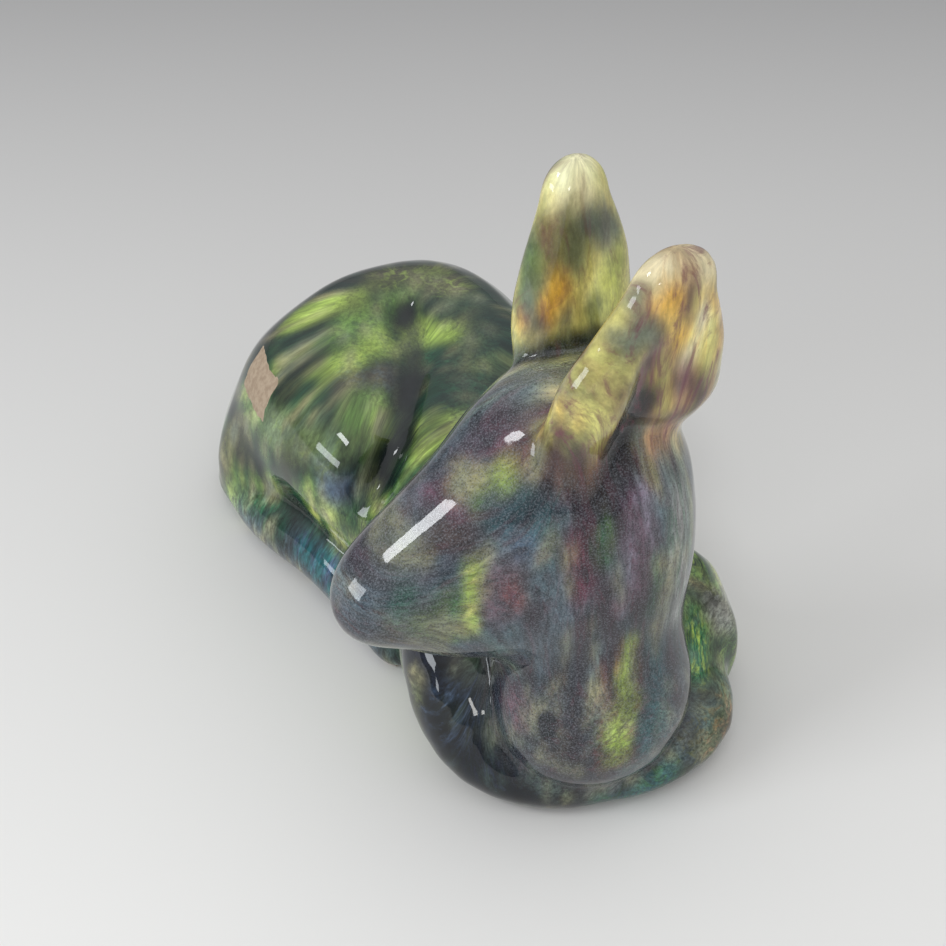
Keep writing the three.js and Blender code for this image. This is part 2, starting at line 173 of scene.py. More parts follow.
loose = near(places, ear_step, 9)
loose = np.maximum(loose, 0.8 * near(places, bridge, 9))
for _ in range(drawing_rounds):
    pull = 1 - crisp[:, None]
    places += 0.6 * pull * (mean_of_neighbours(places) - places)
    places -= 0.5 * pull * (mean_of_neighbours(places) - places)
for _ in range(melting_rounds):
    places += 0.5 * loose[:, None] * (mean_of_neighbours(places) - places)

# The maker tooled a groove round the right haunch and one down the cup of the left ear. Both are cut a little
# deeper here than the coat left them, and their edges are eased.
groove = [(9, 31, 49.5), (5, 21, 48), (1, 14, 46), (-4, 7.5, 44.5), (-8, 3, 42.5), (-12.5, 0.5, 37.5)]
ear_groove = [(2.3, -57, 97), (2.3, -56.1, 89.8), (1.8, -53.4, 80.4)]
ear_groove += [(-0.7, -54.8, 76.6), (-3.5, -56.2, 72.9)]
groove_depth, ear_groove_depth = 0.0008, 0.0009
easing_rounds = 6
coat_mesh.vertices.foreach_set("co", places.ravel())
coat_mesh.update()
facing = np.empty(len(places) * 3)
coat_mesh.vertex_normals.foreach_get("vector", facing)
facing = facing.reshape(-1, 3)
places -= groove_depth * near(places, groove, 4.5)[:, None] * facing
places -= ear_groove_depth * near(places, ear_groove, 4)[:, None] * facing
for _ in range(easing_rounds):
    eased = np.maximum(near(places, groove, 8), near(places, ear_groove, 7))
    places += 0.5 * eased[:, None] * (mean_of_neighbours(places) - places)

# The board that the damp figurine dried on left its underside flat, and the glaze was wiped off the foot so
# that it wouldn't stick to the kiln shelf.
flat_below = 0.00045
places[places[:, 2] < flat_below, 2] = 0
places = np.clip(places, cad_box[0], cad_box[1])
coat_mesh.vertices.foreach_set("co", places.ravel())
coat_mesh.update()
coat_mesh.vertex_normals.foreach_get("vector", facing.reshape(-1))

# The glazes were poured and daubed one over the other, and ran together down the sides in the kiln. Each
# point of the coat gets two glazes, the one that covers it and the one that shows through in veins.
recipes = {
    "cream": (0.90, 0.80, 0.56),
    "amber": (0.74, 0.42, 0.06),
    "straw": (0.66, 0.64, 0.20),
    "olive": (0.10, 0.115, 0.045),
    "moss": (0.10, 0.21, 0.04),
    "lime": (0.33, 0.46, 0.08),
    "mint": (0.22, 0.30, 0.19),
    "green": (0.02, 0.125, 0.055),
    "bottle": (0.003, 0.026, 0.022),
    "teal": (0.015, 0.09, 0.10),
    "blue": (0.05, 0.08, 0.135),
    "slate": (0.07, 0.105, 0.13),
    "ash": (0.26, 0.265, 0.255),
    "night": (0.007, 0.010, 0.020),
    "ink": (0.003, 0.006, 0.008),
    "plum": (0.11, 0.016, 0.04),
    "lavender": (0.22, 0.18, 0.24),
    "rust": (0.26, 0.05, 0.03),
    "tan": (0.36, 0.20, 0.10),
    "umber": (0.045, 0.030, 0.026),
    "rose": (0.22, 0.10, 0.13),
}
glazes = {name: np.array(colour) for name, colour in recipes.items()}
grounds = {
    "body": ("green", "bottle"),
    "head": ("slate", "night"),
    "left_ear": ("straw", "plum"),
    "right_ear": ("straw", "mint"),
    "left_foreleg": ("slate", "olive"),
    # the right foreleg's dark ground is partly painted shade, for the shade under the chin
    "right_foreleg": ("night", "ink"),
    "left_hind_leg": ("teal", "olive"),
    "right_hind_leg": ("slate", "ink"),
    "tail": ("olive", "bottle"),
}
point_of_corner = np.empty(len(coat_mesh.loops), int)
coat_mesh.loops.foreach_get("vertex_index", point_of_corner)
sizes = np.empty(len(coat_mesh.polygons), int)
coat_mesh.polygons.foreach_get("loop_total", sizes)
starts = np.concatenate([[0], np.cumsum(sizes)[:-1]])
face_of_corner = np.repeat(np.arange(len(sizes)), sizes)
middles = np.empty((len(sizes), 3))
for axis in range(3):
    middles[:, axis] = np.bincount(face_of_corner, places[point_of_corner, axis], len(sizes)) / sizes
node_names = sorted(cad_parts)
owner_reach = 0.003
owner = np.full(len(middles), -1)
nearest = np.full(len(middles), 1.0)
for index, name in enumerate(node_names):
    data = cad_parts[name].data
    clay = BVHTree.FromPolygons(
        [vert.co.copy() for vert in data.vertices], [tuple(face.vertices) for face in data.polygons]
    )
    low_corner, high_corner = [np.array(corner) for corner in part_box(name)]
    inside = np.all((middles > low_corner - owner_reach) & (middles < high_corner + owner_reach), axis=1)
    for face in np.flatnonzero(inside):
        gap = clay.find_nearest(Vector(middles[face]))[3]
        if gap < nearest[face]:
            nearest[face], owner[face] = gap, index

# Each face of the coat now belongs to the nearest clay piece. The seams between the pieces are evened out,
# and crumbs of a piece go to the piece round them.
edge_faces = {}
for corner, face in enumerate(face_of_corner):
    first = point_of_corner[corner]
    second = point_of_corner[starts[face] + (corner - starts[face] + 1) % sizes[face]]
    edge_faces.setdefault((min(first, second), max(first, second)), []).append(face)
sides = np.array([pair for pair in edge_faces.values() if len(pair) == 2])


def majority(owner):
    votes = np.zeros((len(owner), len(node_names)))
    np.add.at(votes, (np.arange(len(owner)), owner), 1.5)
    np.add.at(votes, (sides[:, 0], owner[sides[:, 1]]), 1)
    np.add.at(votes, (sides[:, 1], owner[sides[:, 0]]), 1)
    return votes.argmax(1)


voting_rounds, blending_rounds = 12, 45
for _ in range(voting_rounds):
    owner = majority(owner)

# Every point starts with the two glazes of its own piece, blended over the seams.
share = np.zeros((len(places), len(node_names)))
np.add.at(share, (point_of_corner, owner[face_of_corner]), 1)
share /= share.sum(1, keepdims=True)
for _ in range(blending_rounds):
    share += 0.9 * (mean_of_neighbours(share) - share)
cover = sum(share[:, [i]] * glazes[grounds[name][0]] for i, name in enumerate(node_names))
vein = sum(share[:, [i]] * glazes[grounds[name][1]] for i, name in enumerate(node_names))

# Molten glaze also runs downhill, over the broad slopes and past small relief. Each point learns where the
# glaze on it came from, on the ridges above, so that a pattern laid out there is drawn into streaks down the
# sides. Along a streak the pattern changes slowly, by the drift.
broad_rounds, running_rounds = 140, 130
drift = 0.09
broad = facing.copy()
for _ in range(broad_rounds):
    broad += 0.9 * (mean_of_neighbours(broad) - broad)
broad /= np.linalg.norm(broad, axis=1, keepdims=True)
down = broad * broad[:, [2]] - np.array([0, 0, 1])
steepness = np.linalg.norm(down, axis=1)
down /= np.maximum(steepness, 1e-6)[:, None]
squares = starts[sizes == 4]
corners = np.stack([point_of_corner[squares + step] for step in range(4)], 1)
pairs = np.concatenate([ends, corners[:, [0, 2]], corners[:, [1, 3]]])
pairs = np.concatenate([pairs, pairs[:, ::-1]])
giver, taker = pairs[:, 0], pairs[:, 1]
lift = places[giver] - places[taker]
lift /= np.linalg.norm(lift, axis=1, keepdims=True)
slope = -np.einsum("ij,ij->i", lift, down[taker])
uphill = np.maximum(slope, 0) ** 5 + 1e-6
uphill_sum = np.bincount(taker, uphill, len(places))
carried_share = np.clip((steepness - 0.1) / 0.2, 0, 1)
kept_level = (1 - 0.03 * steepness**4) * carried_share
origin = places.copy()
for _ in range(running_rounds):
    for axis, kept in enumerate((kept_level, kept_level, carried_share)):
        carried = np.bincount(taker, uphill * origin[giver, axis], len(places)) / uphill_sum
        origin[:, axis] = places[:, axis] + kept * (carried - places[:, axis])
flow = origin + drift * places


def mottled(spots, scale, smoothness, shift=(0, 0, 0)):
    """A cloudy pattern from 0 to 1, about 0.5 on the whole, with the same spread whatever its scale."""
    lacunarity, octaves = 2.1, 3
    spots = [Vector(spot) * scale + Vector(shift) for spot in spots]
    values = np.array([noise.fractal(spot, smoothness, lacunarity, octaves) for spot in spots])
    values -= values.mean()
    return np.clip(0.5 + values / values.std() / 4, 0, 1)


streak = mottled(flow, 360, 0.75)
band = mottled(flow, 130, 0.9, (3, 7, 1))
cloud = mottled(places, 90, 0.9, (5, 2, 9))

# Daubs wander a little off their lines, as a loaded brush does. Noise vectors start from the clock unless
# they are given a seed, so the seed makes every run give the same wander.
wander, wander_seed = 0.0022, 1795730146
noise.seed_set(wander_seed)
brushed = places + np.array([noise.noise_vector(Vector(place) * 140) * wander for place in places])


def laid(layer, colour, amount):
    return layer + np.clip(amount, 0, 1)[:, None] * (glazes[colour] - layer)


def rising(values, start, end):
    return np.clip((values - start) / (end - start), 0, 1)


# Where no daub was put, the poured glazes lie in bands. On the body they go from bottle green over moss to
# lime and straw, on the head from plum over slate to teal and mint, on the ears from plum over amber to
# cream. The back's crown and the foot of the breast are the darkest.
body_share = share[:, node_names.index("body")]
head_share = share[:, node_names.index("head")]
near_ear_share = share[:, node_names.index("left_ear")]
ear_share = near_ear_share + share[:, node_names.index("right_ear")]
leg_share = 1 - head_share - body_share - ear_share
mixed = 0.6 * streak + 0.4 * band
cover = laid(cover, "moss", 0.9 * rising(mixed, 0.36, 0.5) * body_share)
cover = laid(cover, "lime", 0.95 * rising(mixed, 0.52, 0.68) * body_share)
cover = laid(cover, "straw", 0.6 * rising(mixed, 0.62, 0.78) * body_share)
cover = laid(cover, "bottle", 0.9 * rising(0.5 * band + 0.5 * cloud, 0.47, 0.3) * body_share)
cover = laid(cover, "olive", 0.6 * rising(cloud, 0.55, 0.8) * body_share)
cover = laid(cover, "teal", 0.7 * rising(mixed, 0.5, 0.66) * head_share)
cover = laid(cover, "green", 0.4 * rising(mixed, 0.5, 0.65) * leg_share * (places[:, 0] > -0.01))
cover = laid(cover, "mint", 0.5 * rising(band, 0.62, 0.85) * head_share)
cover = laid(cover, "plum", 0.7 * rising(mixed, 0.44, 0.28) * head_share)
cover = laid(cover, "ash", 0.3 * rising(cloud, 0.55, 0.8) * head_share)
cover = laid(cover, "night", 0.55 * rising(places[:, 2], 0.058, 0.034) * head_share)
cover = laid(cover, "bottle", 0.9 * rising(places[:, 2], 0.040, 0.0495) * body_share)
cover = laid(cover, "amber", rising(mixed, 0.48, 0.6) * (0.35 * ear_share + 0.55 * near_ear_share))
cover = laid(cover, "cream", 0.8 * rising(mixed, 0.6, 0.75) * ear_share)
cover = laid(cover, "plum", rising(mixed, 0.42, 0.26) * (0.3 * ear_share + 0.6 * near_ear_share))
thread = rising(np.abs(streak - 0.47), 0.05, 0.01) * rising(cloud, 0.3, 0.6)
cover = laid(cover, "plum", thread * (0.35 * ear_share + 0.3 * near_ear_share))


def daub(line, radius, over, through, strength=1.0):
    """A stroke of glaze along a line in millimetres, and the glaze that shows through it in veins."""
    global cover, vein
    reach = strength * rising(1.4 * near(brushed, line, 1.25 * radius) + 0.8 * (streak - 0.5), 0.2, 1)
    cover, vein = laid(cover, over, reach), laid(vein, through, reach)


# The body is a hollow casting. Its glaze is bottle green along the spine, with lime and moss strokes down the
# rump and the loin, and blue at the foot of the tooled groove.
daub([(16, 46, 49), (-2, 46, 49), (-14, 47, 43)], 9, "bottle", "umber", 0.9)
daub([(21, 33, 51), (17, 39, 51), (9, 40, 51)], 6, "umber", "lime", 0.8)
daub([(-10, 43, 46), (0, 37, 50)], 5.5, "lime", "olive")
daub([(-11, 25, 46), (-1, 27, 48)], 5.5, "lime", "moss")
daub([(9, 33, 51), (-7, 32, 48)], 5, "moss", "bottle", 0.8)
daub([(13, 20, 50), (9, 26, 49)], 5, "lime", "bottle", 0.9)
daub([(9, 16, 48), (2, 8, 47), (9, 4, 48)], 6, "bottle", "green", 0.9)
daub([(-3, 18, 47), (-10, 19, 46)], 5.5, "umber", "slate", 0.9)
daub([(-10, 13, 45.5), (-12, 6, 43)], 6.5, "moss", "olive")
daub([(-8, 9, 44.5), (-10, 4, 42)], 3, "lime", "green", 0.7)
daub([(-21, 9, 37), (-18.5, 4, 34)], 5.5, "blue", "night")
daub([(-21, 16, 39), (-24, 20, 30)], 5, "bottle", "olive", 0.8)
daub([(-17, 28, 42), (-21, 26, 36)], 6, "olive", "bottle", 0.8)
daub([(-25, 40, 26), (-28, 48, 12)], 7, "umber", "olive", 0.75)
daub([(-28, 33, 13), (-26, 24, 12)], 5, "bottle", "green", 0.8)
daub([(-1, -4, 47), (-5, -3, 45)], 5, "lime", "olive", 0.8)
daub([(-23, 30, 35), (-21, 20, 37), (-18, 12, 39)], 8, "mint", "lime", 0.5)

# The head, neck and breast are one casting, luted to the body: slate over the nose and skull, green and lime
# runs on the cheek, a rust blush, plum and lavender runs down the neck, and lime in a brown edge down the
# breast. The pale ash runs down the nape and along the breast's lower right edge are partly glaze and partly
# painted sheen.
daub([(-27, -43, 69), (-35, -45.5, 62), (-39, -45, 57)], 7, "slate", "umber")
daub([(-16, -44, 77), (-24, -42, 72)], 6, "plum", "slate", 0.7)
daub([(-13, -47, 79), (-14, -49, 75)], 2.6, "lime", "green")
daub([(-17, -46, 76), (-19, -48, 73)], 3.4, "moss", "slate", 0.8)
daub([(-17, -51, 71), (-12, -52, 74), (-10, -53, 66)], 5, "teal", "slate", 0.8)
daub([(-10, -50, 79), (-12, -45, 81)], 4, "plum", "umber", 0.7)
daub([(-28, -51.5, 58), (-28, -51.5, 54)], 5, "green", "moss")
daub([(-33, -47.5, 63), (-34, -49, 58)], 4, "green", "slate", 0.6)
daub([(-23, -51, 65), (-24, -52.5, 60), (-24.5, -52.5, 54)], 2.6, "lime", "straw")
daub([(-19, -53, 63), (-19.5, -54, 57)], 4.6, "rose", "slate", 0.65)
daub([(-17, -54, 61), (-17, -54, 58)], 2.6, "rust", "plum", 0.6)
daub([(-14, -54, 67), (-16, -53.5, 68)], 4, "blue", "night", 0.8)
daub([(-10, -57.7, 56), (-12, -56.6, 46), (-9, -58, 35)], 7, "slate", "night", 0.8)
daub([(-38, -48, 53), (-30, -50, 49)], 4, "umber", "slate", 0.7)
daub([(-7, -57, 69), (-8, -58.6, 56)], 2.8, "plum", "night")
daub([(-4, -58.4, 70), (-4, -58.6, 63)], 2.8, "green", "moss")
daub([(3.4, -57.4, 73), (2, -60.6, 61), (0, -61, 54)], 3.6, "lavender", "plum", 0.9)
daub([(5, -60.8, 62), (4.3, -61.5, 49)], 2, "green", "bottle", 0.9)
# Partly painted sheen: a pale ash run down the nape.
daub([(10.5, -57.5, 70), (11, -59.4, 58), (12, -60, 44)], 4.2, "ash", "green", 0.8)
daub([(-3, -55, 79), (-4, -56, 74)], 3, "rust", "amber", 0.8)
daub([(3.5, -61.6, 42), (6, -63.8, 30), (3, -65.6, 15)], 6, "teal", "slate", 0.9)
daub([(1, -61.2, 42), (-0.5, -63, 32), (-3, -65.2, 20)], 4.4, "umber", "rust", 0.9)
daub([(0.8, -61.2, 43), (-0.6, -63, 32)], 2.4, "lime", "straw")
daub([(-0.6, -63, 33), (-3.2, -65.3, 20)], 3.2, "lime", "olive")
daub([(-14, -51, 28), (-13, -53, 26)], 4.6, "rose", "slate", 0.8)
daub([(-9.5, -58, 34), (-10.5, -60.5, 19), (-4, -64, 12)], 6, "night", "umber", 0.7)
# Partly painted reflection: a pale ash band along the breast's lower right edge.
daub([(13, -60, 22), (6.5, -66, 20), (-3, -62.5, 9)], 4, "ash", "teal", 0.6)

# The ears are leaves of clay, luted to the skull: cream at the tips, with amber and plum runs in the cup of
# the near one, and rust and amber low on the far one.
daub([(4, -53.7, 111.5), (10, -55, 111)], 6, "cream", "amber", 0.8)
daub([(-3, -54, 103), (0, -56, 108)], 4.5, "straw", "umber", 0.8)
daub([(2.7, -57.2, 108), (3, -57.5, 103)], 2.2, "amber", "cream")
daub([(5.5, -57.6, 109.5), (7, -56.4, 101)], 2.6, "amber", "tan")
daub([(1.2, -56.5, 108), (2.7, -57.5, 101), (4, -55, 92)], 2.2, "plum", "rust")
daub([(4.8, -55, 94), (4, -54.7, 87), (3, -54, 79)], 3, "umber", "plum")
daub([(9.5, -55, 93), (12, -55.7, 88), (9, -54, 84)], 5, "plum", "slate", 0.9)
daub([(11, -55.4, 91), (12, -55.6, 88)], 3.2, "night", "plum", 0.8)
daub([(11.5, -56.7, 100), (13, -57, 96)], 3, "straw", "amber", 0.9)
daub([(-5.7, -55.4, 98), (-5, -57.3, 92), (-3, -57, 85)], 4.4, "straw", "tan")
daub([(8.5, -53, 79), (11, -53, 80)], 4.5, "tan", "plum", 0.9)
daub([(-8, -55.8, 87), (-9, -55, 83)], 3.5, "olive", "slate", 0.7)
daub([(8.6, -29.2, 112.7), (7, -30, 111)], 5, "cream", "straw", 0.6)
daub([(4, -30.7, 106.5), (2.8, -30.8, 102)], 4, "plum", "straw", 0.8)
daub([(9, -32, 107), (13, -32, 102)], 3.4, "teal", "lavender", 0.8)
daub([(1.4, -32, 97), (-0.5, -32.4, 91)], 3.6, "amber", "rust")
daub([(-2, -31, 91), (0.6, -33.7, 89.5)], 2.2, "rust", "tan", 0.9)
daub([(10, -35, 92), (13, -33.6, 96)], 5, "lime", "straw", 0.6)
daub([(1, -28.6, 101), (-1.5, -29, 94)], 3, "green", "olive", 0.8)
daub([(2, -36, 87), (8, -36.5, 88)], 3, "straw", "olive", 0.6)

# The legs are rolls of clay, pressed on the body: green and lime on the left shoulder under a brown-grey run,
# ink down the right foreleg, blue-green feet. The ink and night on the right foreleg, under the chin, are
# partly its dark glaze and partly painted shade.
daub([(26, -50.5, 25), (23.4, -53.7, 17)], 4.6, "green", "lime")
daub([(30.4, -49, 26), (34, -47, 18)], 4.5, "umber", "ash", 0.9)
daub([(29.4, -44.8, 31), (27, -44, 33)], 3, "tan", "green", 0.8)
daub([(22, -64, 7), (26, -61, 8)], 5, "olive", "tan", 0.8)
daub([(10, -66, 5), (-2, -63, 3.5)], 5, "teal", "green", 0.9)
# Painted shade, with the leg's dark glaze: ink in the hollow between the right foreleg and the breast.
daub([(-23, -48, 13), (-17, -54, 9)], 8, "ink", "night")
daub([(-20, -46, 26), (-25, -42, 20)], 7, "ink", "blue", 0.9)
daub([(-25.6, -36, 21), (-27, -38, 12)], 3, "olive", "night", 0.7)
daub([(33, -47, 20), (36, -43, 10)], 6, "ash", "olive", 0.4)
daub([(-23, 14, 14), (-22.4, 5, 11)], 6, "teal", "blue")

# The glaze varies in depth of colour from streak to streak. The daubs bleed downhill into each other, and the
# glaze beneath breaks through them where they ran thin.
drip = np.where(slope > 0, slope**6, 0.35 * slope**6) * steepness[taker] + 0.02
drip_sum = np.bincount(taker, drip, len(places))[:, None]


def ran(layer, rounds=5):
    for _ in range(rounds):
        moved = np.zeros_like(layer)
        for axis in range(layer.shape[1]):
            moved[:, axis] = np.bincount(taker, drip * layer[giver, axis], len(layer))
        layer = 0.25 * layer + 0.75 * moved / drip_sum
    return layer


darkest, contrast, palest = 0.27, 12.5, 0.92
depth = 0.45 * streak + 0.3 * band + 0.25 * cloud
tone = (darkest * contrast**depth)[:, None]
cover, vein = np.clip(cover * tone, 0, palest), vein * tone
swapped = 0.7 * rising(mixed, 0.4, 0.22)[:, None]
cover, vein = cover + swapped * (vein - cover), vein + swapped * (cover - vein)
cover, vein = ran(cover), ran(vein)

# The glaze pools dark in the valleys and thins over the ridges, where the clay warms it. The ink laid in the
# valleys is also painted shade for the creases. A valley is where a smoother copy of the coat lies further
# out than the coat itself.
rounder = places.copy()
rounding_rounds = 30
for _ in range(rounding_rounds):
    rounder += 0.7 * (mean_of_neighbours(rounder) - rounder)
hollow = np.einsum("ij,ij->i", rounder - places, facing)
pooled_and_shaded = rising(hollow, 0.00012, 0.00075)
thinned = rising(-hollow, 0.00025, 0.0011)
cover = laid(cover, "ink", 0.85 * pooled_and_shaded)
vein = laid(vein, "ink", 0.9 * pooled_and_shaded)
cover = laid(cover, "umber", 0.25 * thinned * (1 - ear_share))

# Small marks: the dark smudge of the eye, a pit in the breast's glaze, and the ink in the grooves and at the
# root of the far ear, which is glaze gathered there and also painted shade for those deep creases. The head
# is sandy, the ears are feathered with plum, and the streaks are calmest on the ears and the rump.
smudge = 0.9 * near(brushed, [(-23.4, -49, 67.6), (-26, -47.4, 68.6)], 4)
cover, vein = laid(cover, "umber", smudge), laid(vein, "umber", smudge)
pit = rising(near(places, [(-11.8, -57.7, 27), (-11.6, -57.8, 24)], 2.8), 0.2, 0.45)
cover, vein = laid(cover, "ink", pit), laid(vein, "ink", pit)
# Painted shade: ink down the haunch groove and the near ear's groove, over the glaze gathered there.
shaded_channel = 0.9 * near(brushed, groove, 4)
cover, vein = laid(cover, "ink", shaded_channel), laid(vein, "ink", shaded_channel)
shaded_furrow = np.maximum(near(places, ear_groove[1:], 5), 0.95 * near(brushed, groove[2:], 6))
cover, vein = laid(cover, "ink", shaded_furrow), laid(vein, "ink", shaded_furrow)
# Painted shade: a dark umber line down the upper groove of the near ear's cup.
shaded_ear_line = [(2.2, -57.5, 104), (2.3, -56.5, 92)]
cover = laid(cover, "umber", 0.6 * near(brushed, shaded_ear_line, 2.4))
# Painted shade: ink in the crease where the far ear's root goes behind the crown, with glaze pooled there
# too.
shaded_ear_root = [(-4.5, -30.5, 82), (-0.1, -34.5, 85.1), (4.1, -35.6, 86.2), (9, -36, 85.6)]
cover = laid(cover, "ink", near(places, shaded_ear_root, 3) ** 0.5)
sand = np.clip(head_share + 0.15 * ear_share, 0, 1) * (1 - 0.5 * rising(cover.max(1), 0.25, 0.45))
feather = 0.5 * ear_share + 0.5 * near_ear_share + 0.3 * head_share
calm = ear_share + 0.2 * head_share + 0.9 * body_share * rising(places[:, 1], -0.02, 0.02)

# The clay is bare on the foot and in a patch on the rump that the glaze never took: a kite that is wider than
# it is high, with a chipped edge.
kite_reach = 0.014
kite_middle = np.array((-20.95, 37.4, 37.6)) * 0.001
kite_sides = np.array([(-4.05, -7.85, -3.4), (1.35, -6.5, 3.6)]) * 0.001
kite = (places - kite_middle) @ np.linalg.pinv(kite_sides)
chipped = 0.25 * (streak - 0.5)
bare = rising(1 - np.abs(kite).sum(1) + chipped, -0.06, 0.06) * (facing[:, 0] < 0)
bare *= np.linalg.norm(places - kite_middle, axis=1) < kite_reach
foot = (places[:, 2] < flat_below) & (facing[:, 2] < -0.5)
bare = np.maximum(bare, foot)
for name, values in (("cover", cover), ("vein", vein)):
    layer = coat_mesh.color_attributes.new(name, "FLOAT_COLOR", "POINT")
    layer.data.foreach_set("color", np.column_stack([values, np.ones(len(values))]).ravel())
for name, values in (("sand", sand), ("bare", bare), ("calm", calm), ("feather", feather)):
    layer = coat_mesh.attributes.new(name, "FLOAT", "POINT")
    layer.data.foreach_set("value", values.astype(float))
for name, values in (("skin_normal", facing), ("flow", flow)):
    layer = coat_mesh.attributes.new(name, "FLOAT_VECTOR", "POINT")
    layer.data.foreach_set("vector", values.ravel())

# The glaze itself: a thick, glassy coat whose two glazes mingle in streaks, feathered with plum on the ears,
# sandy on the head, over tan clay that shows on the foot and in one bare patch on the rump.
glaze = bpy.data.materials.new("glaze")
glaze.use_nodes = True
nodes, links = glaze.node_tree.nodes, glaze.node_tree.links
shader = nodes["Principled BSDF"]
where = nodes.new("ShaderNodeTexCoord")


def attribute(name, output):
    reader = nodes.new("ShaderNodeAttribute")
    reader.attribute_name = name
    return reader.outputs[output]


def grain(scale, detail, roughness, distortion=0.0, along="Object"):
    texture = nodes.new("ShaderNodeTexNoise")
    texture.inputs["Scale"].default_value = scale
    texture.inputs["Detail"].default_value = detail
    texture.inputs["Roughness"].default_value = roughness
    texture.inputs["Distortion"].default_value = distortion
    laid_out = where.outputs["Object"] if along == "Object" else attribute(along, "Vector")
    links.new(laid_out, texture.inputs["Vector"])
    return texture.outputs["Fac"]


def between(value, start, end, low=0.0, high=1.0):
    ranged = nodes.new("ShaderNodeMapRange")
    ranged.interpolation_type = "SMOOTHSTEP"
    for name, number in (("From Min", start), ("From Max", end), ("To Min", low), ("To Max", high)):
        ranged.inputs[name].default_value = number
    links.new(value, ranged.inputs["Value"])
    return ranged.outputs["Result"]


def times(first, second):
    product = nodes.new("ShaderNodeMath")
    product.operation = "MULTIPLY"
    for socket, value in zip(product.inputs, (first, second)):
        if isinstance(value, float):
            socket.default_value = value
        else:
            links.new(value, socket)
    return product.outputs["Value"]


def blended(amount, first, second):
    mix = nodes.new("ShaderNodeMix")
    mix.data_type = "RGBA"
    for socket, value in ((mix.inputs[0], amount), (mix.inputs[6], first), (mix.inputs[7], second)):
        if isinstance(value, (float, tuple)):
            socket.default_value = value
        else:
            links.new(value, socket)
    return mix.outputs[2]


calm_share = times(attribute("calm", "Fac"), 0.55)


def calmer(value, middle):
    mix = nodes.new("ShaderNodeMix")
    links.new(calm_share, mix.inputs[0])
    links.new(value, mix.inputs[2])
    mix.inputs[3].default_value = middle
    return mix.outputs[0]


mingled = calmer(between(grain(520, 6, 0.62, 0.6, "flow"), 0.44, 0.68), 0.1)
colour = blended(mingled, attribute("cover", "Color"), attribute("vein", "Color"))
strands = times(
    calmer(between(grain(1300, 5, 0.62, 0.3, "flow"), 0.3, 0.72, 0.5, 1.65), 1.0),
    calmer(between(grain(5200, 3, 0.6, 0.0, "flow"), 0.25, 0.75, 0.8, 1.2), 1.0),
)
toned = nodes.new("ShaderNodeVectorMath")
toned.operation = "SCALE"
links.new(colour, toned.inputs[0])
links.new(strands, toned.inputs["Scale"])
colour = toned.outputs["Vector"]
feathered = times(between(grain(480, 7, 0.68, 1.2, "flow"), 0.5, 0.66), attribute("feather", "Fac"))
plum_feather = (0.17, 0.045, 0.07, 1)
colour = blended(times(feathered, 0.7), colour, plum_feather)
sandy = times(between(grain(3600, 2, 0.75), 0.44, 0.66), attribute("sand", "Fac"))
pale_sand = (0.36, 0.39, 0.44, 1)
colour = blended(times(sandy, 0.26), colour, pale_sand)
dust = times(between(grain(3100, 2, 0.6), 0.52, 0.66), attribute("sand", "Fac"))
dark_dust = (0.010, 0.009, 0.016, 1)
colour = blended(times(dust, 0.5), colour, dark_dust)
brown_clay, tan_clay = (0.30, 0.22, 0.15, 1), (0.40, 0.31, 0.22, 1)
clay_colour = blended(between(grain(900, 5, 0.6), 0.35, 0.65), brown_clay, tan_clay)
glassy, biscuit_rough = 0.04, 0.75
bare_patch = between(attribute("bare", "Fac"), 0.45, 0.55)
links.new(blended(bare_patch, colour, clay_colour), shader.inputs["Base Color"])
links.new(between(bare_patch, 0, 1, glassy, biscuit_rough), shader.inputs["Roughness"])
ripple = nodes.new("ShaderNodeBump")
ripple.inputs["Strength"].default_value = 0.12
ripple.inputs["Distance"].default_value = 0.0002
links.new(grain(240, 3, 0.5), ripple.inputs["Height"])
links.new(ripple.outputs["Normal"], shader.inputs["Normal"])

# Inside and on the drain's wall the clay is bare: a warm tan biscuit, fired once before it was glazed, with
# fine grog in it.
brown_biscuit, tan_biscuit = (0.27, 0.20, 0.135, 1), (0.41, 0.32, 0.23, 1)
biscuit = bpy.data.materials.new("biscuit")
biscuit.use_nodes = True
biscuit_nodes = biscuit.node_tree.nodes
biscuit_place = biscuit_nodes.new("ShaderNodeTexCoord")
grog = biscuit_nodes.new("ShaderNodeTexNoise")
grog.inputs["Scale"].default_value = 1400
grog.inputs["Detail"].default_value = 5
tans = biscuit_nodes.new("ShaderNodeValToRGB")
tans.color_ramp.elements[0].position = 0.35
tans.color_ramp.elements[0].color = brown_biscuit
tans.color_ramp.elements[1].position = 0.65
tans.color_ramp.elements[1].color = tan_biscuit
biscuit.node_tree.links.new(biscuit_place.outputs["Object"], grog.inputs["Vector"])
biscuit.node_tree.links.new(grog.outputs["Fac"], tans.inputs["Fac"])
biscuit.node_tree.links.new(tans.outputs["Color"], biscuit_nodes["Principled BSDF"].inputs["Base Color"])
biscuit_nodes["Principled BSDF"].inputs["Roughness"].default_value = 0.85

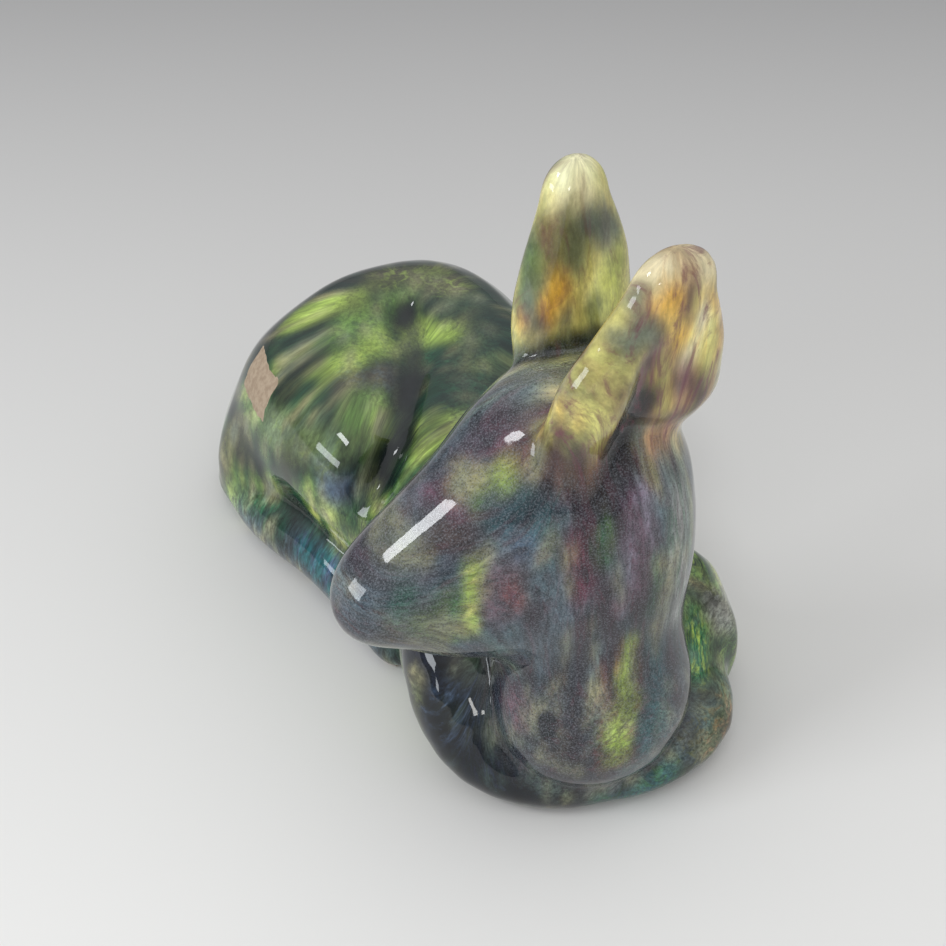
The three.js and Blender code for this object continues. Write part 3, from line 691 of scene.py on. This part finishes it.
# The coat is cut along the luted joints into one closed shell for each clay piece. The cuts meet exactly, and
# each shell keeps the whole coat's shading, so no seam shows. The floor is as thick as the clay at the drain.
skin_thickness = 0.0012
floor_thickness = 0.0045
on_the_floor = 0.0002
rim_reach, floor_reach = 1.4 * drain_radius, 2 * drain_radius
for index, name in enumerate(node_names):
    shell = bmesh.new()
    shell.from_mesh(coat_mesh)
    shell.faces.ensure_lookup_table()
    strangers = [face for face in shell.faces if owner[face.index] != index]
    bmesh.ops.delete(shell, geom=strangers, context="FACES")
    if name == "body":
        drained = []
        for face in shell.faces:
            middle = face.calc_center_median() - drain
            if middle.z < on_the_floor and math.hypot(middle.x, middle.y) < drain_radius:
                drained.append(face)
        bmesh.ops.delete(shell, geom=drained, context="FACES")
        for vert in shell.verts:
            off = vert.co - drain
            if vert.is_boundary and off.z < on_the_floor and off.length < rim_reach:
                vert.co = drain + off.normalized() * drain_radius
    outer = set(shell.faces)
    whole_normal = shell.verts.layers.float_vector["skin_normal"]
    doubled = bmesh.ops.extrude_face_region(shell, geom=list(outer), use_keep_orig=True)
    for vert in [item for item in doubled["geom"] if isinstance(item, bmesh.types.BMVert)]:
        thickness = skin_thickness
        if vert.co.z < on_the_floor and (vert.co - drain).length < floor_reach:
            thickness = floor_thickness
        vert.co -= vert[whole_normal] * thickness
    bmesh.ops.recalc_face_normals(shell, faces=shell.faces)
    for face in shell.faces:
        face.material_index = 0 if face in outer else 1
        face.smooth = face in outer
    piece_mesh = bpy.data.meshes.new("glaze_" + name)
    shell.to_mesh(piece_mesh)
    shell.free()
    kept = np.empty(len(piece_mesh.vertices) * 3)
    piece_mesh.attributes["skin_normal"].data.foreach_get("vector", kept)
    kept = kept.reshape(-1, 3)
    normals = np.zeros((len(piece_mesh.loops), 3))
    corner_verts = np.empty(len(piece_mesh.loops), int)
    piece_mesh.loops.foreach_get("vertex_index", corner_verts)
    face_sizes = np.empty(len(piece_mesh.polygons), int)
    piece_mesh.polygons.foreach_get("loop_total", face_sizes)
    material_of = np.empty(len(piece_mesh.polygons), int)
    piece_mesh.polygons.foreach_get("material_index", material_of)
    glazed = np.repeat(material_of == 0, face_sizes)
    normals[glazed] = kept[corner_verts[glazed]]
    piece_mesh.normals_split_custom_set(normals)
    piece = bpy.data.objects.new("glaze_" + name, piece_mesh)
    bpy.context.scene.collection.objects.link(piece)
    piece_mesh.materials.append(glaze)
    piece_mesh.materials.append(biscuit)
    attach(piece, "root")
    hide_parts(name)

# The figurine stands on a sheet of pale, warm-grey paper, which runs back out of sight. Its colour darkens
# away
# from the camera: painted shade, for the light falling off with distance.
half_sheet = 3
# The far paper colour is painted shade.
near_paper, shaded_far_paper = (0.79, 0.78, 0.755, 1), (0.36, 0.355, 0.35, 1)
shade_from, shade_to = -0.08, 0.3
floor_mesh = bpy.data.meshes.new("floor")
sheet = bmesh.new()
bmesh.ops.create_grid(sheet, x_segments=1, y_segments=1, size=half_sheet)
sheet.to_mesh(floor_mesh)
sheet.free()
floor = bpy.data.objects.new("floor", floor_mesh)
bpy.context.scene.collection.objects.link(floor)
paper = bpy.data.materials.new("paper")
paper.use_nodes = True
paper_shader = paper.node_tree.nodes["Principled BSDF"]
paper_place = paper.node_tree.nodes.new("ShaderNodeTexCoord")
away = paper.node_tree.nodes.new("ShaderNodeVectorMath")
away.operation = "DOT_PRODUCT"
away.inputs[1].default_value = (-math.sin(azimuth), math.cos(azimuth), 0)
painted_falloff = paper.node_tree.nodes.new("ShaderNodeMapRange")
painted_falloff.inputs["From Min"].default_value = shade_from
painted_falloff.inputs["From Max"].default_value = shade_to
painted_distance_shade = paper.node_tree.nodes.new("ShaderNodeMix")
painted_distance_shade.data_type = "RGBA"
painted_distance_shade.inputs[6].default_value = near_paper
painted_distance_shade.inputs[7].default_value = shaded_far_paper
paper.node_tree.links.new(paper_place.outputs["Object"], away.inputs[0])
paper.node_tree.links.new(away.outputs["Value"], painted_falloff.inputs["Value"])
paper.node_tree.links.new(painted_falloff.outputs["Result"], painted_distance_shade.inputs[0])
paper.node_tree.links.new(painted_distance_shade.outputs[2], paper_shader.inputs["Base Color"])
paper_shader.inputs["Roughness"].default_value = 0.9
floor_mesh.materials.append(paper)

# Plain studio light: a soft sky, brightest overhead, with two windows on the fawn's right and a small one in
# front of it. A window is given by its bearing from the front, its height in degrees and its distance.
level_at_horizon, level_overhead = 0.28, 1.15
world = bpy.data.worlds.new("room")
world.use_nodes = True
sky_nodes, sky_links = world.node_tree.nodes, world.node_tree.links
sky_way = sky_nodes.new("ShaderNodeTexCoord")
sky_parts = sky_nodes.new("ShaderNodeSeparateXYZ")
sky_level = sky_nodes.new("ShaderNodeMapRange")
sky_level.inputs["From Min"].default_value = 0
sky_level.inputs["From Max"].default_value = 1
sky_level.inputs["To Min"].default_value = level_at_horizon
sky_level.inputs["To Max"].default_value = level_overhead
sky_links.new(sky_way.outputs["Generated"], sky_parts.inputs["Vector"])
sky_links.new(sky_parts.outputs["Z"], sky_level.inputs["Value"])
sky_links.new(sky_level.outputs["Result"], sky_nodes["Background"].inputs["Strength"])
sky_nodes["Background"].inputs["Color"].default_value = (0.97, 0.98, 1, 1)
bpy.context.scene.world = world


def window(name, bearing, rise, standoff, width, height, power, tint):
    light = bpy.data.lights.new(name, "AREA")
    light.shape = "RECTANGLE"
    light.size, light.size_y = width, height
    light.energy = power
    light.color = tint
    pane = bpy.data.objects.new(name, light)
    bpy.context.scene.collection.objects.link(pane)
    turn, rise = math.radians(bearing), math.radians(rise)
    outwards = Vector((math.sin(turn) * math.cos(rise), -math.cos(turn) * math.cos(rise), math.sin(rise)))
    pane.location = look_at + outwards * standoff
    pane.rotation_euler = outwards.to_track_quat("Z", "Y").to_euler()


window("right_window", -97, 47, 1.0, 0.28, 0.15, 1.8, (0.95, 0.97, 1))
window("low_right_window", -97, 14, 0.9, 0.46, 0.2, 2.1, (0.9, 0.95, 1))
window("front_window", -16, 15, 0.9, 0.08, 0.09, 0.22, (1, 0.99, 0.96))
bpy.context.scene.view_settings.view_transform = "Standard"
